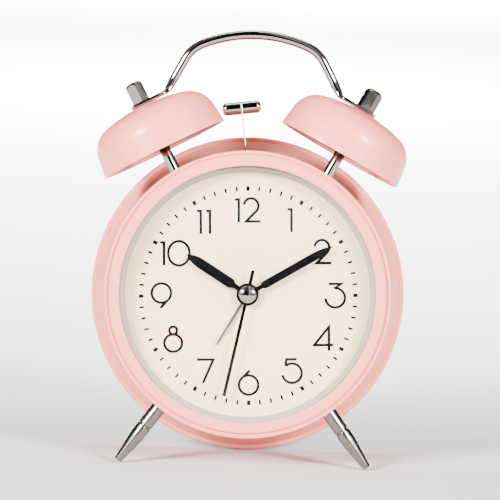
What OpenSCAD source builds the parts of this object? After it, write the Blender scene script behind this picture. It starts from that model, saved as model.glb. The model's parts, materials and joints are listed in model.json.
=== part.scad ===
// Twin-bell alarm clock with a quartz movement.
// Clock frame: X to the right, Y to the back, Z up, origin on the dial axis at the bezel's front.
// Every sub-part is drawn in that frame, then the whole clock leans back on its two feet and rear rim.

/* [Case] */
// Backward lean of the standing clock, degrees
lean = 7; // [5:0.5:9]
// Outer radius of the case waist
waist_r = 52.5; // [52:0.1:53]
// Radius at the middle of the rolled rear bead
rim_r = 58.8; // [58:0.1:59.5]
// Depth from the bezel's front to the rolled bead
case_depth = 46; // [45:0.5:47]
// Radius of the rolled bead
bead_r = 1.2; // [1:0.1:1.4]
// Sheet thickness of the case
wall = 1; // [0.8:0.1:1.2]

/* [Bezel and dial] */
// Inner radius of the bezel
bezel_in_r = 47.8; // [47.5:0.1:48]
// Outer radius of the bezel's face
bezel_face_r = 51.6; // [51:0.1:51.8]
// Outer radius of the bezel's lip
bezel_lip_r = 53.6; // [53.4:0.1:54]
// Radius of the dial in view
dial_r = 45.4; // [45:0.1:45.8]
// Depth of the dial's face behind the bezel's front
dial_y = 9; // [9:0.1:9.3]

/* [Bells and handle] */
// Radius of a bell at its rim
bell_r = 25; // [24.5:0.1:25.2]
// Height of a bell
bell_h = 18.6; // [18.4:0.1:18.8]
// Sheet thickness of a bell
bell_t = 0.9; // [0.8:0.1:1]
// Tilt of a bell's axis from the vertical, degrees
bell_tilt = 28; // [27:0.5:29]
// Sideways distance from the middle to a bell's rim centre
bell_x = 32.8; // [32.6:0.1:33.2]
// Height of a bell's rim centre above the dial axis
bell_z = 53.4; // [53.2:0.1:53.8]
// Depth of the plane of the bell posts, handle and hammer
post_y = 18; // [17.5:0.5:18]
// Radius of a bell post
post_r = 2.1; // [2:0.1:2.2]
// Radius of the handle's rod
rod_r = 1.75; // [1.6:0.05:1.9]
// Height of the handle's crown above the dial axis
handle_top = 97.6; // [97:0.1:98.2]

/* [Feet] */
// Angle of each foot from straight down, degrees
foot_angle = 36.3; // [35:0.1:38]
// Depth of the plane of the feet
foot_y = 10; // [9:0.5:11]
// Radius of a foot
foot_r = 2.75; // [2.5:0.05:3]
// Radius of a foot's flat tip
foot_tip_r = 1.45; // [1.3:0.05:1.6]

/* [Hands at rest] */
// Hour hand, degrees clockwise from the top
hour_angle = 301.5; // [0:0.1:360]
// Minute hand, degrees clockwise from the top
minute_angle = 58.8; // [0:0.1:360]
// Second hand, degrees clockwise from the top
second_angle = 191.3; // [0:0.1:360]
// Alarm hand, degrees clockwise from the top
alarm_angle = 209.8; // [0:0.1:360]

/* [Hidden] */
$fn = 96;

pink = [0.95, 0.77, 0.74];
bell_pink = [0.95, 0.8, 0.78];
chrome = [0.72, 0.72, 0.73];
ink = [0.08, 0.08, 0.09];
brass = [0.8, 0.65, 0.35];
plastic_white = [0.92, 0.92, 0.9];
plastic_grey = [0.6, 0.6, 0.6];

// Standing height of the dial axis, from the rear bead's lowest point
rest_h = case_depth * sin(lean) + rim_r * cos(lean) + bead_r;
// Slope between a foot's axis and the vertical once the clock leans
foot_drop = cos(foot_angle) * cos(lean);
// Distance from the dial axis to the middle of a foot's flat tip, so that both tips reach the table
foot_reach = (rest_h - foot_y * sin(lean) - foot_tip_r * sqrt(1 - foot_drop * foot_drop)) / foot_drop;
foot_len = foot_reach - waist_r;

flare_y = 21;
flare_steps = 12;
cover_y = 43;
cover_t = 2;
cover_r = 55.8;
knob_front = cover_y + cover_t + 1;
knob_h = 7;
knob_r = 6;

screw_r = 1.5;
screw_hole_r = 1.6;
tab_t = 1.4;
nut_h = 7.8;
nut_flats = 6.2;

// Depths of the gear layers inside the movement, front face of each wheel
box_front = 10;
box_back = 26;
box_half = 26;
box_low = -24;
alarm_layer = 11.6;
hour_layer = 13;
minute_layer = 14.6;
drive_layer = 16.7;
third_layer = 18.5;
seconds_layer = 20.1;
step_layer = 21.7;
wheel_t = 0.7;

// Gear modules and centre distances
motion_m = 0.5;
hour_m = 0.48;
step_m = 0.38;
rotor_m = 0.3;
drive_m = 0.3;
third_at = (8 + 64) * drive_m / 2;
third_m = third_at * 2 / (8 + 60);
step_at = (8 + 48) * step_m / 2;
rotor_at = (8 + 40) * rotor_m / 2;
minute_at = (12 + 36) * motion_m / 2;
time_at = (36 + 18) * motion_m / 2;
alarm_at = (48 + 24) * motion_m / 2;

step_dir = -45;
third_dir = 195;
minute_dir = 90;
step_pos = step_at * [cos(step_dir), sin(step_dir)];
rotor_pos = (step_at + rotor_at) * [cos(step_dir), sin(step_dir)];
third_pos = third_at * [cos(third_dir), sin(third_dir)];
minute_pos = minute_at * [0, 1];
time_pos = [time_at, minute_at];
alarm_pos = [-time_at, sqrt(alarm_at * alarm_at - time_at * time_at)];
alarm_dir = atan2(alarm_pos[1], alarm_pos[0]);

pivot_z = 36;
hammer_lean = 7.4;
hammer_reach = 34.3;
head_r = 2.4;
head_half = 7.3;
head_edge = 1.7;
crank_x = 17;
crank_throw = 1.5;

battery_z = -34.6;
battery_y = 36.2;
battery_r = 7.1;
battery_half = 25.2;
bay_half = 27.4;
bay_low = -43;
bay_high = -26.2;
bay_floor = 27.6;
door_hinge_y = cover_y + 0.9;
door_hinge_z = bay_low - 1.6;

depth_front = -bezel_lip_r * sin(lean) + 1.2;
depth_back = (knob_front + knob_h) * cos(lean) + (minute_at + knob_r) * sin(lean);
depth_shift = -(depth_front + depth_back) / 2;

// ---- Placing and shaping helpers ----

module standing() {
  translate([0, depth_shift, rest_h]) rotate([-lean, 0, 0]) children();
}

// Solid of revolution about the dial axis from a profile of [radius, depth]
module turned() {
  rotate([-90, 0, 0]) rotate_extrude() children();
}

// Plate in the plane of the dial, between two depths
module plate(front, back, at = [0, 0]) {
  translate([at[0], back, at[1]]) rotate([90, 0, 0]) linear_extrude(back - front) children();
}

// Round bar parallel to the dial axis, between two depths
module bar(front, back, r, at = [0, 0]) {
  translate([at[0], back, at[1]]) rotate([90, 0, 0]) cylinder(h = back - front, r = r);
}

// Local frame of a bell: origin at its rim centre, +Z out along its axis
module at_bell(side) {
  translate([side * bell_x, post_y, bell_z]) rotate([0, side * bell_tilt, 0]) children();
}

// Local frame of a foot: origin on the case's surface, +Z out along the foot
module at_foot(side) {
  translate([0, foot_y, 0]) rotate([0, 180 - side * foot_angle, 0]) translate([0, 0, waist_r]) children();
}

// Phase of a gear b that meshes with gear a, seen from a along dir
function mesh_phase(dir, phase_a, teeth_a, teeth_b) =
  let (pitch_a = 360 / teeth_a, turn = (dir - phase_a) / pitch_a)
  dir + 180 + (turn - floor(turn) + 0.5) * 360 / teeth_b;

// Gear outline: short, slim teeth so that meshing wheels keep clear of each other
module gear_outline(teeth, m, phase = 0) {
  pitch_r = teeth * m / 2;
  tip_r = pitch_r + 0.75 * m;
  root_r = pitch_r - 1.05 * m;
  pitch = 360 / teeth;
  polygon([for (i = [0 : teeth - 1], c = [[root_r, -0.24], [tip_r, -0.1], [tip_r, 0.1], [root_r, 0.24]])
    let (a = phase + (i + c[1]) * pitch) c[0] * [cos(a), sin(a)]]);
}

module gear(teeth, m, front, thick, at = [0, 0], phase = 0) {
  plate(front, front + thick, at) gear_outline(teeth, m, phase);
}

// ---- Case ----

module case_profile() {
  flare = [for (i = [0 : flare_steps]) let (s = i / flare_steps)
    [waist_r + (rim_r - waist_r) * s * s, flare_y + (case_depth - flare_y) * s]];
  inner = [for (i = [0 : flare_steps]) let (s = 1 - i / flare_steps)
    [waist_r - wall + (rim_r - waist_r) * s * s, flare_y + (case_depth - flare_y) * s]];
  polygon(concat([[waist_r, 2.6]], flare, inner, [[waist_r - wall, 2.6]]));
  translate([rim_r, case_depth]) circle(r = bead_r, $fn = 48);
}

module lug_frames() {
  for (a = [30, 150, 270]) rotate([0, -a, 0]) children();
}

lug_r = 51.6;
module case_shell() {
  color(pink) standing() difference() {
    union() {
      turned() case_profile();
      // Lugs that take the back cover's screws
      lug_frames() translate([lug_r - 2.6, cover_y - 3.2, -3.5]) cube([6.4, 3, 7]);
    }
    for (side = [-1, 1]) {
      at_bell(side) translate([0, 0, -20]) cylinder(h = 20, r = screw_hole_r);
      at_foot(side) translate([0, 0, -4]) cylinder(h = 8, r = screw_hole_r);
    }
    lug_frames() translate([lug_r, cover_y, 0]) rotate([90, 0, 0]) cylinder(h = 5, r = 1.1);
    // Slot for the hammer rod
    translate([-4.2, post_y - 1.2, waist_r - 5]) cube([8.4, 2.4, 8]);
  }
}

// Flat face ring, a groove, then a rounded lip that wraps the front of the case
module bezel_profile() {
  difference() {
    union() {
      translate([bezel_in_r, 0.4]) square([bezel_face_r - bezel_in_r, 1.8]);
      translate([bezel_in_r + 0.4, 0]) square([bezel_face_r - bezel_in_r - 0.8, 1]);
      translate([bezel_in_r + 0.4, 0.4]) circle(r = 0.4, $fn = 32);
      translate([bezel_face_r - 0.4, 0.4]) circle(r = 0.4, $fn = 32);
      translate([bezel_in_r + 1, 1.2]) square([bezel_lip_r - bezel_in_r - 1.8, 1]);
      translate([bezel_lip_r - 0.8, 1.4]) circle(r = 0.8, $fn = 32);
      translate([waist_r + 0.1, 1.4]) square([bezel_lip_r - waist_r - 0.1, 3.6]);
    }
    translate([bezel_in_r, 2.2]) square([waist_r + 0.1 - bezel_in_r, 4]);
  }
}

module front_bezel() {
  color(pink) standing() turned() bezel_profile();
}

module lens() {
  color([0.85, 0.9, 0.92, 0.4]) standing() bar(2.3, 3.7, waist_r - wall - 0.4);
}

module spacer_ring() {
  color([0.82, 0.82, 0.8]) standing() turned()
    polygon([[dial_r, dial_y - 0.1], [dial_r + 1.9, 3.8], [dial_r + 3, 3.8], [dial_r + 3, dial_y - 0.1]]);
}

module dial_plate() {
  color([0.95, 0.92, 0.87]) standing() difference() {
    bar(dial_y, dial_y + 0.6, dial_r + 3);
    bar(dial_y - 1, dial_y + 2, 3.6);
  }
}

// ---- Bells, posts, nuts and handle ----

// Outline of a bell: straight skirt, round shoulder and shallow crown, each tangent to the next
module bell_outline(r, h) {
  shoulder_r = 10.5 - (bell_r - r);
  shoulder = [13.6, 6.3];
  crown_r = (shoulder[0] * shoulder[0] + pow(h - shoulder[1], 2) - shoulder_r * shoulder_r)
    / (2 * (h - shoulder[1] - shoulder_r));
  to_shoulder = shoulder - [0, h - crown_r];
  crown_end = shoulder + shoulder_r * to_shoulder / norm(to_shoulder);
  to_rim = [r, 0] - shoulder;
  skirt_dir = atan2(to_rim[1], to_rim[0]) + acos(shoulder_r / norm(to_rim));
  skirt_end = shoulder + shoulder_r * [cos(skirt_dir), sin(skirt_dir)];
  intersection() {
    translate([0, h - crown_r]) circle(r = crown_r, $fn = 360);
    square([crown_end[0], h + 1]);
  }
  difference() {
    translate(shoulder) circle(r = shoulder_r, $fn = 144);
    translate([-1, -20]) square([60, 20]);
  }
  polygon([[0, 0], [r, 0], skirt_end, shoulder]);
}

module bell() {
  difference() {
    rotate_extrude() bell_outline(bell_r, bell_h);
    translate([0, 0, -0.01]) rotate_extrude() bell_outline(bell_r - bell_t, bell_h - bell_t);
    cylinder(h = 30, r = screw_hole_r);
  }
}

module left_bell() {
  color(bell_pink) standing() at_bell(-1) bell();
}

module right_bell() {
  color(bell_pink) standing() at_bell(1) bell();
}

washer_t = 0.8;
washer_r = 3.2;
// The washer's edge meets the curved underside of the crown
washer_z = bell_h - bell_t - washer_t - 0.15;
module bell_post(side) {
  difference() {
    at_bell(side) translate([0, 0, -14]) difference() {
      cylinder(h = 14 + washer_z, r = post_r);
      translate([0, 0, -1]) cylinder(h = 50, r = screw_hole_r);
    }
    bar(0, 40, waist_r);
  }
}

module left_bell_post() {
  color(chrome) standing() bell_post(-1);
}

module right_bell_post() {
  color(chrome) standing() bell_post(1);
}

// Long screws with flat heads inside the case
screw_head_z = 14.6;
module bell_screws() {
  color(chrome) standing() for (side = [-1, 1]) at_bell(side) {
    translate([0, 0, -screw_head_z]) cylinder(h = screw_head_z + bell_h + tab_t + 4.4, r = screw_r);
    translate([0, 0, -screw_head_z]) cylinder(h = 1.7, r = 2.7);
  }
}

module bell_washers() {
  color([0.3, 0.3, 0.3]) standing() for (side = [-1, 1]) at_bell(side)
    translate([0, 0, washer_z]) difference() {
      cylinder(h = washer_t, r = washer_r);
      translate([0, 0, -1]) cylinder(h = 3, r = screw_hole_r);
    }
}

// Tall hexagonal cap nut with a domed end and a blind bore
module cap_nut() {
  translate([0, 0, bell_h + tab_t]) difference() {
    intersection() {
      rotate([0, 0, 30]) cylinder(h = nut_h, r = nut_flats / sqrt(3), $fn = 6);
      rotate_extrude() intersection() {
        translate([0, nut_h - 7.5]) circle(r = 7.5, $fn = 96);
        translate([0, 0]) square([nut_flats / 2 + 0.35, nut_h]);
      }
    }
    translate([0, 0, -1]) cylinder(h = 6, r = screw_r + 0.05);
  }
}

module left_cap_nut() {
  color(chrome) standing() at_bell(-1) cap_nut();
}

module right_cap_nut() {
  color(chrome) standing() at_bell(1) cap_nut();
}

// Handle: crown arc, two shoulder arcs, straight legs, then flat tabs under the nuts
crown_R = 51;
crown_half = 23;
shoulder_R = 12.5;
leg_angle = 28.1;
leg_len = 14.3;
// The shoulder arcs are a hair thinner and run on a little into the crown and the legs
shoulder_step = 0.02;
shoulder_run_on = 1.5;
module handle_arc(centre, radius, section_r, start, sweep) {
  translate([centre[0], post_y, centre[1]]) rotate([90, 0, 0]) rotate([0, 0, start])
    rotate_extrude(angle = sweep) translate([radius, 0]) circle(r = section_r, $fn = 48);
}

tab_len = 10.2;
tab_end = 4.6;
tab_half = 3.8;
module handle_half(side) {
  crown_c = [0, handle_top - crown_R];
  shoulder_c = crown_c + (crown_R - shoulder_R) * [side * sin(crown_half), cos(crown_half)];
  leg_top = shoulder_c + shoulder_R * [side * cos(leg_angle), sin(leg_angle)];
  shoulder_sweep = 90 - crown_half - leg_angle + 2 * shoulder_run_on;
  shoulder_start = side > 0 ? leg_angle - shoulder_run_on : 90 + crown_half - shoulder_run_on;
  handle_arc(shoulder_c, shoulder_R, rod_r - shoulder_step, shoulder_start, shoulder_sweep);
  translate([leg_top[0], post_y, leg_top[1]]) rotate([0, side * (180 - leg_angle), 0])
    cylinder(h = leg_len, r = rod_r, $fn = 48);
  at_bell(side) difference() {
    translate([side > 0 ? -tab_len : -tab_end, -tab_half, bell_h]) cube([tab_len + tab_end, 2 * tab_half, tab_t]);
    translate([0, 0, bell_h - 2]) cylinder(h = 8, r = screw_hole_r);
  }
}

module handle() {
  color(chrome) standing() {
    handle_arc([0, handle_top - crown_R], crown_R, rod_r, 90 - crown_half, 2 * crown_half);
    handle_half(-1);
    handle_half(1);
  }
}

// ---- Feet ----

foot_ring = 9.8;
foot_taper = 14.4;
module foot(side) {
  difference() {
    at_foot(side) translate([0, 0, -4]) rotate_extrude() difference() {
      polygon([[0, 0.4], [screw_r, 0.4], [screw_r, 2], [foot_r, 2], [foot_r, 4 + foot_taper],
        [foot_tip_r, 4 + foot_len], [0, 4 + foot_len]]);
      translate([foot_r + 0.15, 4 + foot_ring]) circle(r = 0.55, $fn = 32);
    }
    // The seat follows the case, and only the stud passes through it
    difference() {
      bar(0, 40, waist_r);
      at_foot(side) translate([0, 0, -10]) cylinder(h = 14, r = screw_r);
    }
  }
}

module left_foot() {
  color(chrome) standing() foot(-1);
}

module right_foot() {
  color(chrome) standing() foot(1);
}

module foot_nuts() {
  color(chrome) standing() for (side = [-1, 1]) at_foot(side) translate([0, 0, -wall - 2.2]) difference() {
    cylinder(h = 2, r = 3.2, $fn = 6);
    translate([0, 0, -1]) cylinder(h = 4, r = screw_r + 0.05);
  }
}

// ---- Back cover and battery ----

module back_cover() {
  color(plastic_white) standing() difference() {
    union() {
      bar(cover_y, cover_y + cover_t, cover_r);
      translate([-bay_half, bay_floor, bay_low]) cube([2 * bay_half, cover_y - bay_floor + 1, bay_high - bay_low]);
      // Raised ring around the controls
      difference() {
        bar(cover_y + cover_t, cover_y + cover_t + 0.8, 48);
        bar(cover_y, cover_y + cover_t + 2, 46.8);
      }
    }
    // Battery bay, open to the back
    translate([-bay_half + 1, bay_floor + 1, bay_low + 1])
      cube([2 * bay_half - 2, cover_y + 10 - bay_floor, bay_high - bay_low - 2]);
    // Seat of the battery door and the sockets of its hinge
    translate([-bay_half - 1, cover_y + 0.5, bay_low - 3]) cube([2 * bay_half + 2, 4, bay_high - bay_low + 5]);
    translate([-bay_half - 2.5, door_hinge_y + 0.6, door_hinge_z]) rotate([0, 90, 0])
      cylinder(h = 2 * bay_half + 5, r = 0.56);
    bar(cover_y - 1, cover_y + 5, 2.08, time_pos);
    bar(cover_y - 1, cover_y + 5, 2.08, alarm_pos);
    // Slot of the alarm switch
    translate([-5, cover_y - 1, 29]) cube([10, 4, 3]);
    lug_frames() translate([lug_r, cover_y + 5, 0]) rotate([90, 0, 0]) cylinder(h = 8, r = 1.3);
  }
}

module back_cover_screws() {
  color(chrome) standing() lug_frames() translate([lug_r, cover_y + cover_t, 0]) rotate([90, 0, 0]) {
    cylinder(h = 6, r = 1);
    translate([0, 0, -1.1]) difference() {
      cylinder(h = 1.1, r = 2.1);
      for (turn = [0, 90]) rotate([0, 0, turn]) translate([-1.3, -0.25, -0.1]) cube([2.6, 0.5, 0.6]);
    }
  }
}

// Door of the battery bay, on two stub pins along its lower edge
module battery_door() {
  color(plastic_white) standing() difference() {
    union() {
      translate([-bay_half - 0.6, cover_y + 0.8, bay_low - 0.8])
        cube([2 * bay_half + 1.2, 1.4, bay_high - bay_low + 2.2]);
      translate([-bay_half - 0.6, door_hinge_y + 0.6, door_hinge_z]) rotate([0, 90, 0])
        cylinder(h = 2 * bay_half + 1.2, r = 0.9);
      translate([-bay_half - 0.6, door_hinge_y + 0.1, door_hinge_z]) cube([2 * bay_half + 1.2, 1, 1.2]);
      translate([-bay_half - 2, door_hinge_y + 0.6, door_hinge_z]) rotate([0, 90, 0])
        cylinder(h = 2 * bay_half + 4, r = 0.5);
    }
    // Finger recess
    translate([-5, cover_y + 1.7, bay_high - 1.5]) cube([10, 2, 1.4]);
  }
}

module battery() {
  color([0.35, 0.36, 0.4]) standing() translate([0, battery_y, battery_z]) rotate([0, 90, 0]) {
    translate([0, 0, -battery_half]) cylinder(h = 2 * battery_half - 1.2, r = battery_r);
    translate([0, 0, battery_half - 1.2]) cylinder(h = 1.2, r = 2.7);
  }
}

module battery_contact_positive() {
  color(chrome) standing() translate([battery_half + 0.1, battery_y - 4, battery_z - 4]) cube([0.4, 8, 8]);
}

// Negative contact: a conical spring drawn as stacked rings on a plate
module battery_spring() {
  color(chrome) standing() translate([-bay_half + 1.05, battery_y, battery_z]) rotate([0, 90, 0]) {
    translate([-4, -4, 0]) cube([8, 8, 0.35]);
    for (i = [0 : 1]) translate([0, 0, 0.55 + i * 0.3]) rotate_extrude()
      translate([3.6 - i * 0.8, 0]) circle(r = 0.25, $fn = 24);
  }
}

// ---- Controls on the back ----

module alarm_switch_slider() {
  color(ink) standing() {
    translate([-4.6, cover_y - 1.1, 27.5]) cube([5.2, 0.8, 6]);
    translate([-4.6, cover_y - 0.5, 29.3]) cube([5.2, cover_t + 1.2, 2.4]);
    translate([-5, cover_y + cover_t + 0.3, 27.8]) cube([6, 2, 5.4]);
    for (i = [0 : 3]) translate([-4.4 + i * 1.5, cover_y + cover_t + 2.2, 28.2]) cube([0.5, 0.6, 4.6]);
  }
}

module knob(at) {
  difference() {
    union() {
      bar(knob_front, knob_front + knob_h, knob_r, at);
      for (i = [0 : 23]) bar(knob_front + 1, knob_front + knob_h - 0.8, 0.35,
        at + (knob_r + 0.05) * [cos(i * 15), sin(i * 15)], $fn = 16);
    }
    bar(knob_front - 1, knob_front + 5, 1.52, at);
  }
}

// Spindle with its setting gear inside the movement
module spindle(at, teeth, layer, phase) {
  bar(layer - 0.2, cover_y - 2, 1.5, at);
  bar(cover_y - 2, knob_front - 0.1, 2, at);
  bar(knob_front - 0.2, knob_front + 4.8, 1.48, at);
  gear(teeth, motion_m, layer - 0.2, wheel_t + 0.4, at, phase);
}

minute_pinion_phase = 0;
minute_wheel_phase = mesh_phase(minute_dir, minute_pinion_phase, 12, 36);
time_phase = mesh_phase(0, minute_wheel_phase, 36, 18);
alarm_gear_phase = mesh_phase(alarm_dir, 0, 48, 24);

module time_set_knob() {
  color(ink) standing() knob(time_pos);
}

module time_set_spindle() {
  color(plastic_white) standing() spindle(time_pos, 18, minute_layer, time_phase);
}

module alarm_set_knob() {
  color(ink) standing() knob(alarm_pos);
}

module alarm_set_spindle() {
  color(plastic_white) standing() spindle(alarm_pos, 24, alarm_layer, alarm_gear_phase);
}

// ---- Hammer and its motor ----

module at_hammer() {
  translate([0, post_y, pivot_z]) rotate([0, -hammer_lean, 0]) children();
}

module hammer_head() {
  color(chrome) standing() at_hammer() translate([-head_half, 0, hammer_reach]) rotate([0, 90, 0]) difference() {
    rotate_extrude() difference() {
      union() {
        translate([0, head_edge]) square([head_r, 2 * (head_half - head_edge)]);
        square([head_r - head_edge, 2 * head_half]);
        translate([head_r - head_edge, head_edge]) circle(r = head_edge, $fn = 48);
        translate([head_r - head_edge, 2 * head_half - head_edge]) circle(r = head_edge, $fn = 48);
      }
      translate([-10, -1]) square([10, 30]);
    }
    translate([-10, 0, head_half]) rotate([0, 90, 0]) cylinder(h = 20, r = 0.42, $fn = 24);
  }
}

module hammer_rod() {
  color(chrome) standing() at_hammer() translate([0, 0, 2.4]) cylinder(h = hammer_reach + 0.2, r = 0.4, $fn = 24);
}

module hammer_lever() {
  color(brass) standing() difference() {
    union() {
      bar(post_y - 2, post_y + 2, 2.6, [0, pivot_z]);
      // Fork arm that the crank drives
      translate([1, post_y - 1, pivot_z - 1.5]) cube([9, 1.6, 3]);
      translate([9.5, post_y - 1, pivot_z - 3.6]) cube([10, 1.6, 7.2]);
      at_hammer() translate([0, 0, 1.5]) cylinder(h = 5, r = 1.2);
    }
    bar(post_y - 5, post_y + 5, 1.05, [0, pivot_z]);
    translate([12, post_y - 2, pivot_z - 2.4]) cube([10, 4, 4.8]);
    at_hammer() translate([0, 0, 2.2]) cylinder(h = 10, r = 0.42, $fn = 24);
  }
}

bracket_y = 23;
module hammer_pivot_pin() {
  color(chrome) standing() {
    bar(post_y - 3, bracket_y + 1, 1, [0, pivot_z]);
    bar(post_y - 3.6, post_y - 2.4, 1.9, [0, pivot_z]);
  }
}

module motor_bracket() {
  color(chrome) standing() difference() {
    union() {
      translate([-7, bracket_y, 27]) cube([33, 1, 16.5]);
      translate([-7, bracket_y - 9, 26]) cube([33, 10, 1.4]);
    }
    bar(bracket_y - 1, bracket_y + 2, 1, [0, pivot_z]);
    bar(bracket_y - 1, bracket_y + 2, 3.05, [crank_x, pivot_z]);
  }
}

module alarm_motor() {
  color(plastic_grey) standing() {
    intersection() {
      bar(bracket_y + 1, bracket_y + 18, 10, [crank_x, pivot_z]);
      translate([crank_x - 12, 0, pivot_z - 7.5]) cube([24, 80, 15]);
    }
    bar(bracket_y - 0.2, bracket_y + 1.5, 3, [crank_x, pivot_z]);
    bar(bracket_y + 17, bracket_y + 18.8, 2.6, [crank_x, pivot_z]);
  }
}

// Crank disc on the motor shaft, with an offset pin
module motor_crank() {
  color(plastic_white) standing() {
    bar(post_y + 2.6, bracket_y - 0.6, 4, [crank_x, pivot_z]);
    bar(post_y + 0.9, post_y + 3, 0.8, [crank_x - crank_throw, pivot_z]);
  }
}

// Two leads from the motor's back down to the movement's back
lead_y = 41.05;
lead_r = 0.45;
lead_z = 25;
module motor_leads() {
  color([0.7, 0.15, 0.12]) standing() for (i = [0, 1]) translate([crank_x - 2 + i * 4, 0, 0]) {
    translate([0, lead_y + lead_r, lead_z]) cylinder(h = pivot_z - lead_z - 3, r = lead_r, $fn = 24);
    translate([0, box_back, lead_z]) rotate([-90, 0, 0]) cylinder(h = lead_y + 2 * lead_r - box_back, r = lead_r, $fn = 24);
  }
}

// ---- Quartz movement ----

module movement_outline() {
  polygon([for (c = [[-1, -1], [1, -1], [1, 1], [-1, 1]]) each
    let (x = c[0] * box_half, z = c[1] > 0 ? box_half : box_low, cut = 3)
    c[0] * c[1] > 0 ? [[x, z - c[1] * cut], [x - c[0] * cut, z]] : [[x - c[0] * cut, z], [x, z - c[1] * cut]]]);
}

module movement_inner() {
  polygon([[-box_half + 1.2, box_low + 4], [-box_half + 4, box_low + 1.2], [box_half - 4, box_low + 1.2],
    [box_half - 1.2, box_low + 4], [box_half - 1.2, box_half - 4], [box_half - 4, box_half - 1.2],
    [-box_half + 4, box_half - 1.2], [-box_half + 1.2, box_half - 4]]);
}

module movement_front_housing() {
  color(plastic_grey) standing() difference() {
    plate(box_front, 18, [0, 0]) movement_outline();
    plate(box_front + 1.2, 19, [0, 0]) movement_inner();
    bar(box_front - 1, box_front + 3, 3.32);
  }
}

module movement_back_housing() {
  color([0.75, 0.76, 0.78]) standing() difference() {
    union() {
      difference() {
        plate(18, box_back, [0, 0]) movement_outline();
        plate(17, box_back - 1.2, [0, 0]) movement_inner();
      }
      // Stud that the minute wheel runs on
      bar(minute_layer - 1.8, box_back - 1, 1, minute_pos);
      bar(minute_layer + wheel_t + 0.6, box_back - 1, 1.6, minute_pos);
    }
    bar(box_back - 2, box_back + 1, 1.58, time_pos);
    bar(box_back - 2, box_back + 1, 1.58, alarm_pos);
    bar(box_back - 2, box_back + 1, 0.56);
    bar(box_back - 2, box_back + 1, 0.56, step_pos);
    bar(box_back - 2, box_back + 1, 0.56, rotor_pos);
    bar(box_back - 2, box_back + 1, 0.56, third_pos);
  }
}

module circuit_board() {
  color([0.15, 0.4, 0.22]) standing() translate([-23, 23.2, -20.8]) cube([15, 1, 14]);
}

module quartz_crystal() {
  color(chrome) standing() translate([-21.5, 21.9, -17.5]) rotate([0, 90, 0]) cylinder(h = 6, r = 1.1, $fn = 48);
}

coil_z = -19.5;
module drive_coil() {
  color([0.72, 0.38, 0.2]) standing() translate([-6, 19, coil_z]) rotate([0, 90, 0]) difference() {
    union() {
      cylinder(h = 15, r = 2.6);
      cylinder(h = 1, r = 3.2);
      translate([0, 0, 14]) cylinder(h = 1, r = 3.2);
    }
    translate([-0.9, -0.6, -1]) cube([1.8, 1.2, 20]);
  }
}

module stator() {
  color(chrome) standing() plate(18.5, 19.5) difference() {
    union() {
      translate([-8.5, coil_z - 0.8]) square([22, 1.6]);
      translate([-8.5, coil_z - 0.8]) square([2.2, 6.6]);
      translate([-8.5, -16]) square([18, 2.3]);
      translate([10.2, coil_z - 0.8]) square([3.2, 4.6]);
      translate(rotor_pos) circle(r = 4.6);
    }
    translate(rotor_pos) circle(r = 3.1);
  }
}

module rotor() {
  color([0.3, 0.3, 0.32]) standing() {
    bar(17.4, 20.6, 2.6, rotor_pos);
    bar(16.4, box_back - 0.5, 0.5, rotor_pos);
    gear(8, rotor_m, step_layer - 0.2, wheel_t + 0.4, rotor_pos, rotor_phase);
  }
}

seconds_wheel_phase = 0;
step_pinion_phase = mesh_phase(step_dir, seconds_wheel_phase, 48, 8);
step_wheel_phase = 0;
rotor_phase = mesh_phase(step_dir, step_wheel_phase, 40, 8);
seconds_pinion_phase = 0;
third_wheel_phase = mesh_phase(third_dir, seconds_pinion_phase, 8, 60);
third_pinion_phase = 0;
drive_phase = mesh_phase(third_dir + 180, third_pinion_phase, 8, 64);

module step_wheel() {
  color(plastic_white) standing() {
    bar(18.4, box_back - 0.5, 0.5, step_pos);
    gear(40, rotor_m, step_layer, wheel_t, step_pos, step_wheel_phase);
    gear(8, step_m, seconds_layer - 0.2, step_layer - seconds_layer + 0.4, step_pos, step_pinion_phase);
  }
}

// Seconds wheel on the long central pin that carries the second hand
module seconds_wheel() {
  color(plastic_white) standing() {
    bar(5, box_back - 0.5, 0.5);
    gear(48, step_m, seconds_layer, wheel_t, [0, 0], seconds_wheel_phase);
    gear(8, third_m, third_layer - 0.2, wheel_t + 1.4, [0, 0], seconds_pinion_phase);
  }
}

module third_wheel() {
  color(plastic_white) standing() {
    bar(15.9, box_back - 0.5, 0.5, third_pos);
    gear(60, third_m, third_layer, wheel_t, third_pos, third_wheel_phase);
    gear(8, drive_m, drive_layer - 0.2, third_layer - drive_layer + 0.4, third_pos, third_pinion_phase);
  }
}

// Wheel that slips on the minute arbor when the time is set
module centre_drive_wheel() {
  color(brass) standing() difference() {
    gear(64, drive_m, drive_layer, wheel_t, [0, 0], drive_phase);
    bar(drive_layer - 1, drive_layer + 3, 1.55);
  }
}

// Hollow arbor: the minute hand in front, the cannon pinion behind
module minute_arbor() {
  color(brass) standing() difference() {
    union() {
      bar(5.9, drive_layer + wheel_t + 0.2, 1.5);
      gear(12, motion_m, minute_layer - 0.2, wheel_t + 0.4, [0, 0], minute_pinion_phase);
    }
    bar(4, 20, 0.56);
  }
}

hour_pinion_phase = 0;
hour_wheel_phase = mesh_phase(270, hour_pinion_phase, 10, 40);
module minute_wheel() {
  color(plastic_white) standing() difference() {
    union() {
      gear(36, motion_m, minute_layer, wheel_t, minute_pos, minute_wheel_phase);
      gear(10, hour_m, hour_layer - 0.2, minute_layer - hour_layer + 0.4, minute_pos, hour_pinion_phase);
    }
    bar(minute_layer - 3, minute_layer + 3, 1.06, minute_pos);
  }
}

module hour_wheel() {
  color(plastic_white) standing() difference() {
    union() {
      bar(6.9, hour_layer + wheel_t + 0.3, 2.4);
      gear(40, hour_m, hour_layer, wheel_t, [0, 0], hour_wheel_phase);
    }
    bar(4, 20, 1.56);
  }
}

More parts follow.
